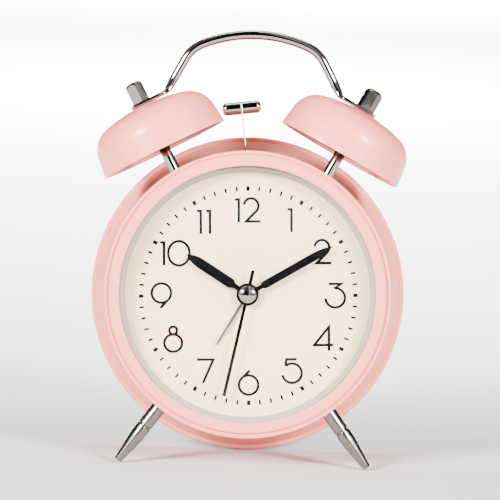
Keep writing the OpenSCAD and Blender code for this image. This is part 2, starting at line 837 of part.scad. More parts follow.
module alarm_wheel() {
  color(brass) standing() difference() {
    union() {
      bar(7.8, alarm_layer + wheel_t + 0.2, 3.25);
      gear(48, motion_m, alarm_layer, wheel_t);
    }
    bar(4, 20, 2.48);
  }
}

module alarm_contact_spring() {
  color(brass) standing() {
    translate([-23, 12.9, -9]) cube([13.5, 0.3, 2.2]);
    translate([-24.7, 12.9, -9]) cube([2, 1.6, 2.2]);
  }
}

// ---- Hands ----

// Turns a plate drawn pointing up to a clockwise angle
module hand(front, thick, angle) {
  plate(front, front + thick) rotate([0, 0, -angle]) children();
}

// Baton hand: narrow neck, straight body, long point with curved sides
module baton(length, width, neck, taper) {
  taper_steps = 6;
  side = [for (i = [0 : taper_steps]) let (s = i / taper_steps)
    [width / 2 * (1 - s * s), taper + (length - taper) * s]];
  right_side = concat([[neck / 2, 0], [neck / 2, 6], [width / 2, 7.3]], side);
  polygon(concat(right_side, [for (i = [len(right_side) - 2 : -1 : 0]) [-right_side[i][0], right_side[i][1]]]));
}

module hour_hand() {
  color(ink) standing() difference() {
    hand(6.9, 0.4, hour_angle) {
      baton(27.2, 3.8, 2.2, 20.8);
      circle(r = 4);
    }
    bar(5, 9, 2.4);
  }
}

module minute_hand() {
  color(ink) standing() difference() {
    hand(5.9, 0.4, minute_angle) {
      baton(36.5, 3, 2, 28.6);
      circle(r = 4.1);
    }
    bar(5, 9, 1.5);
  }
}

module second_hand() {
  color(ink) standing() difference() {
    hand(5, 0.35, second_angle) {
      polygon([[-0.65, -9.2], [0.65, -9.2], [0.65, 38.8], [-0.65, 38.8]]);
      circle(r = 1.6);
    }
    bar(4, 9, 0.5);
  }
}

module second_hand_cap() {
  color(chrome) standing() translate([0, 5, 0]) rotate([90, 0, 0]) rotate_extrude() intersection() {
    translate([0, -6.2]) circle(r = 7.1, $fn = 96);
    square([3.4, 2]);
  }
}

module alarm_hand() {
  color([0.75, 0.75, 0.74]) standing() difference() {
    hand(7.8, 0.3, alarm_angle) {
      polygon([[-0.5, 0], [0.5, 0], [0.4, 21.9], [-0.4, 21.9]]);
      circle(r = 4.2);
    }
    bar(5, 9, 3.25);
  }
}

// ---- Assembly ----

case_shell();
front_bezel();
lens();
spacer_ring();
dial_plate();
left_bell();
right_bell();
left_bell_post();
right_bell_post();
bell_screws();
bell_washers();
left_cap_nut();
right_cap_nut();
handle();
left_foot();
right_foot();
foot_nuts();
back_cover();
back_cover_screws();
battery_door();
battery();
battery_contact_positive();
battery_spring();
alarm_switch_slider();
time_set_knob();
time_set_spindle();
alarm_set_knob();
alarm_set_spindle();
hammer_head();
hammer_rod();
hammer_lever();
hammer_pivot_pin();
motor_bracket();
alarm_motor();
motor_crank();
motor_leads();
movement_front_housing();
movement_back_housing();
circuit_board();
quartz_crystal();
drive_coil();
stator();
rotor();
step_wheel();
seconds_wheel();
third_wheel();
centre_drive_wheel();
minute_arbor();
minute_wheel();
hour_wheel();
alarm_wheel();
alarm_contact_spring();
hour_hand();
minute_hand();
second_hand();
second_hand_cap();
alarm_hand();
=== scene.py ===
"""Looks of the twin-bell alarm clock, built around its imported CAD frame.

Lengths inside the helpers are millimetres in the clock frame: X right, Y back along the dial axis, Z up,
origin on the dial axis at the bezel's front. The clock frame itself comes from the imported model.
"""
import json
import math

import bmesh
import bpy
from mathutils import Matrix, Vector


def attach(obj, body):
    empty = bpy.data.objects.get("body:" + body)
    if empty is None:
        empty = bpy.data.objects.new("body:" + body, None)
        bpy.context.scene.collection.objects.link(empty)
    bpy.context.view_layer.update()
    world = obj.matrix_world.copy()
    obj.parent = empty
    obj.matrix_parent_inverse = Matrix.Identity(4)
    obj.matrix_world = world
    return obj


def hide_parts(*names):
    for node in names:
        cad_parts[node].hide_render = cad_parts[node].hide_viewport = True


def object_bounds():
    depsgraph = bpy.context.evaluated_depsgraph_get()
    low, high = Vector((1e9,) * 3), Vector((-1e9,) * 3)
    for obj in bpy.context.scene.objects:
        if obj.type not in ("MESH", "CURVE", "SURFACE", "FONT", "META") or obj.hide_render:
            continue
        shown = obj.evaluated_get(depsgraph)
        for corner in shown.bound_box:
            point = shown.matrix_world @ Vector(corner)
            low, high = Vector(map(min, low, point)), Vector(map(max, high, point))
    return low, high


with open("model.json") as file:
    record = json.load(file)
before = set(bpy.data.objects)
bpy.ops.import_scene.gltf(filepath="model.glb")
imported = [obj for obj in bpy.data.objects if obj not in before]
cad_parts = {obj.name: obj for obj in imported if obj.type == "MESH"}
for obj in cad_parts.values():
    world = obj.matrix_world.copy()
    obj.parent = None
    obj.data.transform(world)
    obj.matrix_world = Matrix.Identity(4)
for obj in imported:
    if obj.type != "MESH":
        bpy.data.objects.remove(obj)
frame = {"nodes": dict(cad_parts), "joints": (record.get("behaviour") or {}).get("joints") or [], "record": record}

cad_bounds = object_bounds()
MM = 0.001
nodes = frame["nodes"]


# ---------------------------------------------------------------- frames

def joint(name):
    return next(j for j in frame["joints"] if j["name"] == name)


def clock_frame():
    """Clock frame in mm to world metres, from the second hand's axis and the bezel's front."""
    hand = joint("second_hand_turn")
    back = Vector(hand["axis"]).normalized()
    right = Vector((1, 0, 0))
    up = right.cross(back)
    front = min(v.co.dot(back) for v in nodes["front_bezel"].data.vertices)
    on_axis = Vector(hand["pos_m"])
    rotation = Matrix((right, back, up)).transposed().to_4x4()
    rotation.translation = on_axis + back * (front - on_axis.dot(back))
    return rotation @ Matrix.Scale(MM, 4)


def turn(degrees, axis):
    return Matrix.Rotation(math.radians(degrees), 4, axis)


def move(x=0.0, y=0.0, z=0.0):
    return Matrix.Translation((x, y, z))


CLOCK = clock_frame()
AXIAL = CLOCK @ turn(-90, "X")
BELL_X, BELL_Z, BELL_TILT, POST_Y = 32.8, 53.4, 28.0, 18.0
FOOT_ANGLE, FOOT_Y, WAIST_R = 36.3, 10.0, 52.5
PIVOT_Z, HAMMER_LEAN = 36.0, 7.4


def bell_frame(side):
    return CLOCK @ move(side * BELL_X, POST_Y, BELL_Z) @ turn(side * BELL_TILT, "Y")


def foot_frame(side):
    return CLOCK @ move(0, FOOT_Y, 0) @ turn(180 - side * FOOT_ANGLE, "Y") @ move(0, 0, WAIST_R)


HAMMER = CLOCK @ move(0, POST_Y, PIVOT_Z) @ turn(-HAMMER_LEAN, "Y")


# ---------------------------------------------------------------- mesh helpers

def finish_mesh(bm, name, place, sharp=35):
    bmesh.ops.recalc_face_normals(bm, faces=bm.faces)
    mesh = bpy.data.meshes.new(name)
    bm.transform(place)
    bm.to_mesh(mesh)
    bm.free()
    mesh.shade_smooth()
    mesh.set_sharp_from_angle(angle=math.radians(sharp))
    piece = bpy.data.objects.new(name, mesh)
    bpy.context.scene.collection.objects.link(piece)
    return piece


def rounded(corners, steps=5):
    """Outline through [x, y, fillet] corners, each rounded by its fillet's arc."""
    out = []
    count = len(corners)
    for i, (x, y, fillet) in enumerate(corners):
        here = Vector((x, y))
        if not fillet:
            out.append(here)
            continue
        to_last = (Vector(corners[i - 1][:2]) - here).normalized()
        to_next = (Vector(corners[(i + 1) % count][:2]) - here).normalized()
        half = to_last.angle(to_next) / 2
        centre = here + (to_last + to_next).normalized() * (fillet / math.sin(half))
        start = here + to_last * (fillet / math.tan(half)) - centre
        end = here + to_next * (fillet / math.tan(half)) - centre
        a0 = math.atan2(start.y, start.x)
        swing = math.atan2(end.y, end.x) - a0
        swing = (swing + math.pi) % (2 * math.pi) - math.pi
        for s in range(steps + 1):
            a = a0 + swing * s / steps
            out.append(centre + fillet * Vector((math.cos(a), math.sin(a))))
    return out


def arc(centre, radius, start, end, steps):
    """Points on an arc, angles in degrees."""
    angles = [math.radians(start + (end - start) * i / steps) for i in range(steps + 1)]
    return [Vector((centre[0] + radius * math.cos(a), centre[1] + radius * math.sin(a))) for a in angles]


def lathe(name, profile, place, turns=160, closed=True, sharp=35):
    """Solid of revolution about local Z from (radius, height) points."""
    bm = bmesh.new()
    rings = []
    for radius, height in profile:
        if radius < 1e-4:
            rings.append([bm.verts.new((0, 0, height))])
        else:
            rings.append([bm.verts.new((radius * math.cos(a), radius * math.sin(a), height))
                          for a in (2 * math.pi * k / turns for k in range(turns))])
    pairs = list(zip(rings, rings[1:]))
    if closed:
        pairs.append((rings[-1], rings[0]))
    for low, high in pairs:
        if len(low) == 1 and len(high) == 1:
            continue
        for k in range(turns):
            n = (k + 1) % turns
            corners = [low[k % len(low)], low[n % len(low)], high[n % len(high)], high[k % len(high)]]
            bm.faces.new(list(dict.fromkeys(corners)))
    return finish_mesh(bm, name, place, sharp)


def slab(name, outlines, front, back, place=None, bevel=0.0, stagger=0.0):
    """Plates with flat faces at two depths, from outlines in the dial's plane, edges chamfered by bevel.

    With stagger, every second plate stands forward by that much, so that crossing plates never share a face.
    """
    bm = bmesh.new()
    for i, outline in enumerate(outlines):
        loops = []
        face = front - stagger * (i % 2)
        steps = [(face, bevel), (face + bevel, 0.0), (back, 0.0)] if bevel else [(face, 0.0), (back, 0.0)]
        for depth, inset in steps:
            points = inset_outline(outline, inset) if inset else outline
            loops.append([bm.verts.new((p[0], depth, p[1])) for p in points])
        bm.faces.new(loops[0])
        bm.faces.new(list(reversed(loops[-1])))
        for a, b in zip(loops, loops[1:]):
            for k in range(len(a)):
                n = (k + 1) % len(a)
                bm.faces.new((a[k], a[n], b[n], b[k]))
    return finish_mesh(bm, name, CLOCK if place is None else place, 25)


def inset_outline(outline, amount):
    """Outline moved inwards by amount, for a counter-clockwise outline."""
    out = []
    count = len(outline)
    for i in range(count):
        before, here, after = Vector(outline[i - 1]), Vector(outline[i]), Vector(outline[(i + 1) % count])
        a, b = (here - before).normalized(), (after - here).normalized()
        normal = Vector((-a.y, a.x)) + Vector((-b.y, b.x))
        if normal.length < 1e-6:
            normal = Vector((-a.y, a.x))
        normal.normalize()
        cosine = max(0.5, normal.dot(Vector((-a.y, a.x))))
        out.append(here + normal * amount / cosine)
    return out


def carve(piece, tool, operation="DIFFERENCE"):
    """Applies a boolean with another piece and deletes the tool."""
    modifier = piece.modifiers.new("carve", "BOOLEAN")
    modifier.operation = operation
    modifier.object = tool
    modifier.solver = "EXACT"
    graph = bpy.context.evaluated_depsgraph_get()
    mesh = bpy.data.meshes.new_from_object(piece.evaluated_get(graph))
    piece.modifiers.clear()
    old = piece.data
    piece.data = mesh
    bpy.data.meshes.remove(old)
    bpy.data.objects.remove(tool)
    piece.data.shade_smooth()
    piece.data.set_sharp_from_angle(angle=math.radians(35))


def soften(piece, width, angle=30, segments=3):
    """Rounds a piece's sharp edges by width millimetres."""
    modifier = piece.modifiers.new("edges", "BEVEL")
    modifier.width = width * MM
    modifier.segments = segments
    modifier.limit_method = "ANGLE"
    modifier.angle_limit = math.radians(angle)
    modifier.harden_normals = True


def dress(piece, material, body, slot, *replaced):
    """Gives a piece its material and body and hides the CAD nodes that it stands for; the slot argument is not
    used.
    """
    piece.data.materials.clear()
    piece.data.materials.append(material)
    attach(piece, body)
    if replaced:
        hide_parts(*replaced)
    return piece


# ---------------------------------------------------------------- materials

def new_material(name):
    material = bpy.data.materials.new(name)
    material.use_nodes = True
    tree = material.node_tree
    return material, tree, tree.nodes["Principled BSDF"]


def noise(tree, scale, detail=3.0, stretch=(1, 1, 1)):
    """Noise over the object in the row frame; scale is cycles per metre."""
    place = tree.nodes.new("ShaderNodeTexCoord")
    mapping = tree.nodes.new("ShaderNodeMapping")
    mapping.inputs["Scale"].default_value = stretch
    texture = tree.nodes.new("ShaderNodeTexNoise")
    texture.inputs["Scale"].default_value = scale
    texture.inputs["Detail"].default_value = detail
    tree.links.new(place.outputs["Object"], mapping.inputs["Vector"])
    tree.links.new(mapping.outputs["Vector"], texture.inputs["Vector"])
    return texture.outputs["Fac"]


def spread(tree, factor, low, high):
    """Maps a noise's middle range onto low to high."""
    node = tree.nodes.new("ShaderNodeMapRange")
    node.inputs["From Min"].default_value = 0.3
    node.inputs["From Max"].default_value = 0.7
    node.inputs["To Min"].default_value = low
    node.inputs["To Max"].default_value = high
    tree.links.new(factor, node.inputs["Value"])
    return node.outputs["Result"]


def blend_colours(tree, factor, first, second):
    node = tree.nodes.new("ShaderNodeMix")
    node.data_type = "RGBA"
    node.inputs["A"].default_value = (*first, 1)
    node.inputs["B"].default_value = (*second, 1)
    tree.links.new(factor, node.inputs["Factor"])
    return node.outputs["Result"]


def bump(tree, shader, height, strength, distance):
    node = tree.nodes.new("ShaderNodeBump")
    node.inputs["Strength"].default_value = strength
    node.inputs["Distance"].default_value = distance
    tree.links.new(height, node.inputs["Height"])
    tree.links.new(node.outputs["Normal"], shader.inputs["Normal"])


def shade(colour, factor):
    return tuple(min(1.0, c * factor) for c in colour)


def finish(name, colour, rough, metal=0.0, inside=None, vary=0.03, rough_spread=0.04, grain=900,
           grain_depth=0.00001, grain_strength=0.2, blotch=45, coat=0.0, coat_rough=0.1, gloss=0.5, edge=1.0,
           stretch=(1, 1, 1)):
    """Principled finish with colour drift, roughness drift and a fine surface grain.

    inside is a second colour, shown where the mesh's "inside" attribute is 1, and serves as painted shade inside
    the bells; edge darkens grazing reflections.
    """
    material, tree, shader = new_material(name)
    drift = spread(tree, noise(tree, blotch), 0.0, 1.0)
    colour_out = blend_colours(tree, drift, shade(colour, 1 - vary), shade(colour, 1 + vary))
    if inside:
        inside_shade_mask = tree.nodes.new("ShaderNodeAttribute")
        inside_shade_mask.attribute_name = "inside"
        node = tree.nodes.new("ShaderNodeMix")
        node.data_type = "RGBA"
        node.inputs["B"].default_value = (*inside, 1)
        tree.links.new(inside_shade_mask.outputs["Fac"], node.inputs["Factor"])
        tree.links.new(colour_out, node.inputs["A"])
        colour_out = node.outputs["Result"]
    tree.links.new(colour_out, shader.inputs["Base Color"])
    rough_out = spread(tree, noise(tree, blotch * 6, 4.0, stretch), rough - rough_spread, rough + rough_spread)
    tree.links.new(rough_out, shader.inputs["Roughness"])
    shader.inputs["Metallic"].default_value = metal
    shader.inputs["Coat Weight"].default_value = coat
    shader.inputs["Coat Roughness"].default_value = coat_rough
    shader.inputs["Specular IOR Level"].default_value = gloss
    shader.inputs["Specular Tint"].default_value = (edge, edge, edge, 1)
    bump(tree, shader, noise(tree, grain, 2.0, stretch), grain_strength, grain_depth)
    return material


def lens_material():
    """Clear lens that lets lamps through to the dial."""
    material, tree, shader = new_material("lens_glass")
    shader.inputs["Base Color"].default_value = (0.985, 0.99, 0.99, 1)
    shader.inputs["Transmission Weight"].default_value = 1.0
    shader.inputs["Roughness"].default_value = 0.02
    shader.inputs["IOR"].default_value = 1.3
    clear = tree.nodes.new("ShaderNodeBsdfTransparent")
    path = tree.nodes.new("ShaderNodeLightPath")
    mix = tree.nodes.new("ShaderNodeMixShader")
    out = tree.nodes["Material Output"]
    tree.links.new(path.outputs["Is Shadow Ray"], mix.inputs["Fac"])
    tree.links.new(shader.outputs["BSDF"], mix.inputs[1])
    tree.links.new(clear.outputs["BSDF"], mix.inputs[2])
    tree.links.new(mix.outputs["Shader"], out.inputs["Surface"])
    return material


CASE_PINK = (0.86, 0.24, 0.195)
BELL_PINK = (0.92, 0.222, 0.182)
# Near-black colour of the bells' inner surfaces: painted shade for the hollow inside each bell
BELL_INSIDE_PAINTED_SHADE = (0.05, 0.019, 0.017)
MATERIALS = {
    "case_paint": finish("case_paint", CASE_PINK, 0.4, vary=0.02, grain=1400, grain_strength=0.12, coat=0.04,
                         coat_rough=0.12, gloss=0.14),
    "bell_paint": finish("bell_paint", BELL_PINK, 0.42, inside=BELL_INSIDE_PAINTED_SHADE, vary=0.02, grain=1100,
                         grain_strength=0.14, coat=0.5, coat_rough=0.22, gloss=0.3),
    "chrome": finish("chrome", (0.4, 0.388, 0.376), 0.08, metal=1.0, vary=0.03, rough_spread=0.03, grain=2500,
                     grain_strength=0.05, edge=0.15, stretch=(1, 1, 0.2)),
    "chrome_satin": finish("chrome_satin", (0.2, 0.187, 0.172), 0.24, metal=1.0, vary=0.05, rough_spread=0.06,
                           grain=2600, grain_strength=0.25, edge=0.3),
    "lens_glass": lens_material(),
    "ring_grey": finish("ring_grey", (0.2, 0.185, 0.16), 0.5, grain=2500),
    "dial_print": finish("dial_print", (0.74, 0.515, 0.29), 0.62, vary=0.012, grain=3800, grain_strength=0.25,
                         grain_depth=0.000006),
    "hand_black": finish("hand_black", (0.002, 0.002, 0.0022), 0.75, vary=0.1, grain=4000, grain_strength=0.15,
                         gloss=0.0),
    "hand_silver": finish("hand_silver", (0.13, 0.13, 0.13), 0.35, metal=1.0, grain=3000),
    "white_plastic": finish("white_plastic", (0.74, 0.73, 0.7), 0.48, vary=0.015, grain=2600,
                            grain_strength=0.35),
    "black_plastic": finish("black_plastic", (0.018, 0.018, 0.02), 0.4, vary=0.1, grain=2600,
                            grain_strength=0.3),
    "grey_plastic": finish("grey_plastic", (0.34, 0.35, 0.37), 0.5, grain=2200, grain_strength=0.3),
    "gear_plastic": finish("gear_plastic", (0.78, 0.77, 0.7), 0.42, grain=2600),
    "brass": finish("brass", (0.72, 0.5, 0.2), 0.24, metal=1.0, grain=3200, stretch=(1, 0.15, 1)),
    "steel": finish("steel", (0.56, 0.56, 0.57), 0.26, metal=1.0, rough_spread=0.08, grain=3200,
                    stretch=(0.15, 1, 1)),
    "fibre": finish("fibre", (0.08, 0.06, 0.05), 0.8, vary=0.15, grain=2600, grain_strength=0.5),
    "board": finish("board", (0.03, 0.16, 0.06), 0.4, vary=0.08, grain=1600, coat=0.4),
    "copper_coil": finish("copper_coil", (0.6, 0.2, 0.07), 0.34, metal=1.0, grain=5200, grain_strength=0.7,
                          stretch=(1, 0.05, 0.05)),
    "battery_sleeve": finish("battery_sleeve", (0.1, 0.12, 0.16), 0.5, vary=0.02, rough_spread=0.02, grain=1500),
    "lead_sleeve": finish("lead_sleeve", (0.45, 0.02, 0.015), 0.4, grain=2400),
    "ink": finish("dial_ink", (0.002, 0.002, 0.002), 0.8, vary=0.1, grain=4200, gloss=0.0),
}


def material_cad_nodes():
    """Every CAD node takes the finish of its slot in the record."""
    for part in frame["record"]["subparts"]:
        data = nodes[part["node"]].data
        data.materials.clear()
        data.materials.append(MATERIALS[part["material_slot"]])


# ---------------------------------------------------------------- case, bezel, lens and dial

RIM_R, CASE_DEPTH, BEAD_R, FLARE_Y, WALL = 58.8, 46.0, 1.2, 21.0, 1.0


def flare_radius(depth, inset=0.0):
    s = max(0.0, (depth - FLARE_Y) / (CASE_DEPTH - FLARE_Y))
    return WAIST_R - inset + (RIM_R - WAIST_R) * s * s


def case_shell():
    """Drawn sheet case: straight waist, flare, and a rolled bead at the rear rim."""
    steps = 28
    depths = [FLARE_Y + (44.8 - FLARE_Y) * i / steps for i in range(steps + 1)]
    outer = [Vector((WAIST_R, 2.7))] + [Vector((flare_radius(d), d)) for d in depths]
    bead = arc((RIM_R, CASE_DEPTH), BEAD_R, -118, 195, 28)
    inner = [Vector((flare_radius(d, WALL), d)) for d in reversed(depths)]
    inner.append(Vector((WAIST_R - WALL, 2.7)))
    body = lathe("case_body", outer + bead + inner, AXIAL, 256)
    slot = slab("slot_tool", [rounded([(-4.2, 49, 0), (4.2, 49, 0), (4.2, 57, 0), (-4.2, 57, 0)])],
                POST_Y - 1.2, POST_Y + 1.2)
    carve(body, slot)
    dress(body, MATERIALS["case_paint"], "case", "case_paint", "case_shell")


def bezel():
    """Flat faced ring, a groove, and a rounded lip that wraps the case's front edge."""
    profile = rounded([
        (47.8, 2.2, 0), (47.8, 0.0, 0.45), (51.55, 0.0, 0.5), (51.75, 1.25, 0.2), (52.25, 1.25, 0.2),
        (52.45, 0.55, 0.35), (53.6, 0.55, 0.75), (53.6, 5.0, 0.3), (52.6, 5.0, 0), (52.6, 2.2, 0)], 6)
    ring = lathe("bezel_ring", profile, AXIAL, 256, sharp=50)
    dress(ring, MATERIALS["case_paint"], "case", "case_paint", "front_bezel")


def lens():
    profile = rounded([(0, 2.3, 0), (51.0, 2.3, 0.3), (51.0, 3.7, 0.3), (0, 3.7, 0)], 3)
    pane = lathe("lens_pane", profile, AXIAL, 160)
    dress(pane, MATERIALS["lens_glass"], "case", "lens_glass", "lens")


def spacer():
    profile = rounded([
        (45.4, 8.9, 0), (45.4, 8.3, 0.2), (47.2, 3.8, 0.25), (48.4, 3.8, 0.2), (48.4, 8.9, 0)], 4)
    ring = lathe("spacer_cone", profile, AXIAL, 200)
    dress(ring, MATERIALS["ring_grey"], "case", "ring_grey", "spacer_ring")


# Front of the dial card, the turn of its print in degrees, and the ink's thickness
DIAL_Y = 9.0
DIAL_TURN = -2.0
PRINT_T = 0.03


def dial():
    """Plain printed card with a hole for the hand arbors."""
    back = DIAL_Y + 0.6
    profile = rounded([(3.6, DIAL_Y, 0.08), (48.4, DIAL_Y, 0.1), (48.4, back, 0.1), (3.6, back, 0.08)], 2)
    plate = lathe("dial_card", profile, AXIAL, 200)
    dress(plate, MATERIALS["dial_print"], "case", "dial_print", "dial_plate")


def ribbon(points, width):
    """Outline of a stroke of even width along points, mitred at its corners."""
    left, right = [], []
    count = len(points)
    for i, here in enumerate(points):
        back_dir = (here - points[i - 1]).normalized() if i else None
        next_dir = (points[i + 1] - here).normalized() if i < count - 1 else None
        a, b = back_dir or next_dir, next_dir or back_dir
        normal = Vector((-a.y, a.x)) + Vector((-b.y, b.x))
        normal.normalize()
        reach = width / 2 / max(0.35, normal.dot(Vector((-a.y, a.x))))
        left.append(here + normal * reach)
        right.append(here - normal * reach)
    return right + list(reversed(left))


def bowl(centre, rx, ry, start, end, steps=28):
    angles = [math.radians(start + (end - start) * i / steps) for i in range(steps + 1)]
    return [Vector((centre[0] + rx * math.cos(a), centre[1] + ry * math.sin(a))) for a in angles]


def line(*points):
    return [Vector(p) for p in points]


# Strokes of each digit in a box one unit high, standing on its baseline, centred on x = 0
DIGITS = {
    "0": [bowl((0, 0.48), 0.425, 0.485, 0, 360, 44)],
    "1": [line((-0.16, 0.92), (0, 0.92), (0, 0))],
    "2": [bowl((-0.06, 0.66), 0.29, 0.3, 172, -38, 24) + line((-0.26, 0.04), (0.32, 0.04))],
    "3": [line((-0.26, 0.94), (0.24, 0.94), (-0.04, 0.76)), bowl((0, 0.385), 0.385, 0.385, 97, -178, 36)],
    "4": [line((0.38, 0.235), (-0.38, 0.235), (0.21, 0.96), (0.21, 0))],
    "5": [line((0.19, 0.94), (-0.225, 0.94), (-0.255, 0.67)), bowl((0, 0.385), 0.385, 0.385, 131, -170, 36)],
    "6": [bowl((0, 0.385), 0.385, 0.385, 0, 360, 40), line((0.055, 0.97), (-0.28, 0.65))],
    "7": [line((-0.33, 0.94), (0.33, 0.94), (-0.09, 0))],
    "8": [bowl((0, 0.335), 0.355, 0.345, 0, 360, 40), bowl((0, 0.835), 0.155, 0.155, 0, 360, 30)],
    "9": [bowl((0, 0.6), 0.385, 0.385, 0, 360, 40), line((-0.05, 0), (0.295, 0.355))],
}
DIGIT_HEIGHT = 9.3
# Height of a digit's middle above its baseline, as a share of its height
DIGIT_MIDDLE = 0.48
STROKE = 1.05
NUMERAL_R = 32.2
# Half the room that each digit of 10, 11 and 12 takes on the line
HALF_ROOM = {"0": 3.8, "1": 1.7, "2": 3.4}
# Two-digit numerals stand this much nearer the middle of the dial
PAIR_INSET = 0.6
MARK_INNER_R = 38.8
MARK_OUTER_R = 40.6
HOUR_MARK_W = 1.35
MINUTE_MARK_W = 0.8
# The whole print is turned in the case and sits a little right of and below its middle
PRINT_PLACE = CLOCK @ move(0.3, 0, -0.5) @ turn(DIAL_TURN, "Y")


def digit_places(text):
    """Each digit of a numeral with the distance of its middle from the numeral's middle."""
    if len(text) == 1:
        return [(text, 0.0)]
    first, last = text
    return [(first, -HALF_ROOM[last]), (last, HALF_ROOM[first])]


def numeral(hour):
    """Outlines of the strokes of one numeral, upright at its place on the ring."""
    digits = digit_places(str(hour))
    angle = math.radians(30 * hour)
    radius = NUMERAL_R - PAIR_INSET * (len(digits) - 1)
    middle = Vector((math.sin(angle), math.cos(angle))) * radius
    outlines = []
    for digit, offset in digits:
        for stroke in DIGITS[digit]:
            corner = middle + Vector((offset, -DIGIT_MIDDLE * DIGIT_HEIGHT))
            outlines.append(ribbon([corner + p * DIGIT_HEIGHT for p in stroke], STROKE))
    return outlines


def minute_mark(minute):
    angle = math.radians(6 * minute)
    along = Vector((math.sin(angle), math.cos(angle)))
    width = MINUTE_MARK_W if minute % 5 else HOUR_MARK_W
    return ribbon([along * MARK_INNER_R, along * MARK_OUTER_R], width)


def dial_print():
    """Numerals and the ring of minute marks, as a thin layer of ink on the dial."""
    outlines = [stroke for hour in range(1, 13) for stroke in numeral(hour)]
    outlines += [minute_mark(minute) for minute in range(60)]
    ink = slab("dial_marks", outlines, DIAL_Y - PRINT_T, DIAL_Y + 0.02, PRINT_PLACE, stagger=0.005)
    dress(ink, MATERIALS["ink"], "case", "dial_print")


# ---------------------------------------------------------------- hands

def hand_place(angle):
    """Frame in which a hand drawn pointing up lies at its clockwise rest angle."""
    return CLOCK @ turn(angle, "Y")


def baton(root, length, width, neck, taper):
    """Outline of a baton hand: thin neck from its hub, rounded heel, straight body, long curved point."""
    half = width / 2
    heel = rounded([(neck / 2, root, 0), (neck / 2, 6.0, 0.3), (half, 7.2, 0.9), (half, taper, 0)], 5)[:-1]
    shares = [i / 14 for i in range(15)]
    point = [Vector((half * (1 - s ** 2.2), taper + (length - taper) * s)) for s in shares]
    right = heel + point
    return right + [Vector((-p.x, p.y)) for p in reversed(right[:-1])]


# Clockwise rest angles of the hands, in degrees from 12
HOUR_ANGLE, MINUTE_ANGLE, SECOND_ANGLE, ALARM_ANGLE = 301.5, 58.8, 191.3, 209.8


def hands():
    """Blades that each start inside their own hub ring, clear of the nested tubes."""
    black, silver = MATERIALS["hand_black"], MATERIALS["hand_silver"]
    piece = slab("hour_baton", [baton(3.2, 27.2, 3.8, 1.9, 20.8)], 6.9, 7.3, hand_place(HOUR_ANGLE), 0.04)
    dress(piece, black, "hour_hand", "hand_black", "hour_hand")
    hub = rounded([(2.4, 6.95, 0), (4.0, 6.95, 0.12), (4.0, 7.25, 0.1), (2.4, 7.25, 0)], 3)
    piece = lathe("hour_hub", hub, AXIAL, 96)
    dress(piece, black, "hour_hand", "hand_black")
    piece = slab("minute_baton", [baton(2.8, 36.5, 3.0, 1.6, 28.6)], 5.9, 6.3, hand_place(MINUTE_ANGLE), 0.04)
    dress(piece, black, "minute_hand", "hand_black", "minute_hand")
    hub = rounded([(1.5, 5.85, 0), (4.1, 5.85, 0.15), (4.1, 6.3, 0.1), (1.5, 6.3, 0)], 3)
    piece = lathe("minute_hub", hub, AXIAL, 96)
    dress(piece, black, "minute_hand", "hand_black")
    needle = line((-0.65, -9.2), (0.65, -9.2), (0.65, 38.8), (-0.65, 38.8))
    piece = slab("second_needle", [needle], 5.05, 5.35, hand_place(SECOND_ANGLE), 0.03)
    dress(piece, black, "second_hand", "hand_black", "second_hand")
    slim = line((-0.5, 3.7), (0.5, 3.7), (0.4, 21.9), (-0.4, 21.9))
    piece = slab("alarm_needle", [slim], 7.8, 8.1, hand_place(ALARM_ANGLE), 0.06)
    dress(piece, silver, "alarm_hand", "hand_silver", "alarm_hand")
    hub = rounded([(3.25, 7.8, 0), (4.2, 7.8, 0.08), (4.2, 8.1, 0.08), (3.25, 8.1, 0)], 2)
    piece = lathe("alarm_hub", hub, AXIAL, 96)
    dress(piece, silver, "alarm_hand", "hand_silver")


def centre_cap():
    """Domed chrome cap with a rolled edge, on the second hand."""
    dome = arc((0, 10.4), 6.3, 270, 299, 16)
    edge = arc((3.1, 5.1), 0.14, -60, 90, 8)
    profile = dome + edge + [Vector((0, 5.24))]
    piece = lathe("centre_cap", profile, AXIAL, 96, closed=False)
    dress(piece, MATERIALS["chrome"], "second_hand", "chrome", "second_hand_cap")


# ---------------------------------------------------------------- bells, posts, nuts, handle

BELL_R, BELL_H, BELL_T = 25.0, 18.6, 0.9


def bell_side(inset):
    """Half outline of a bell from its rim to its crown: skirt, shoulder arc, crown arc."""
    rim, height, shoulder_r = BELL_R - inset, BELL_H - inset, 10.5 - inset
    sx, sz = 13.6, 6.3
    crown_r = (sx * sx + (height - sz) ** 2 - shoulder_r ** 2) / (2 * (height - sz - shoulder_r))
    to_rim = Vector((rim - sx, -sz))
    skirt = math.degrees(math.atan2(to_rim.y, to_rim.x) + math.acos(shoulder_r / to_rim.length))
    crown_dir = math.degrees(math.atan2(sz - height + crown_r, sx))
    crown_end = math.degrees(math.acos(1.6 / crown_r))
    shoulder = arc((sx, sz), shoulder_r, skirt, crown_dir, 26)
    crown = arc((0, height - crown_r), crown_r, crown_dir, crown_end, 18)[1:]
    start = shoulder[0]
    low = [Vector((rim, 0)).lerp(start, i / 8) for i in range(8)]
    return low + shoulder + crown


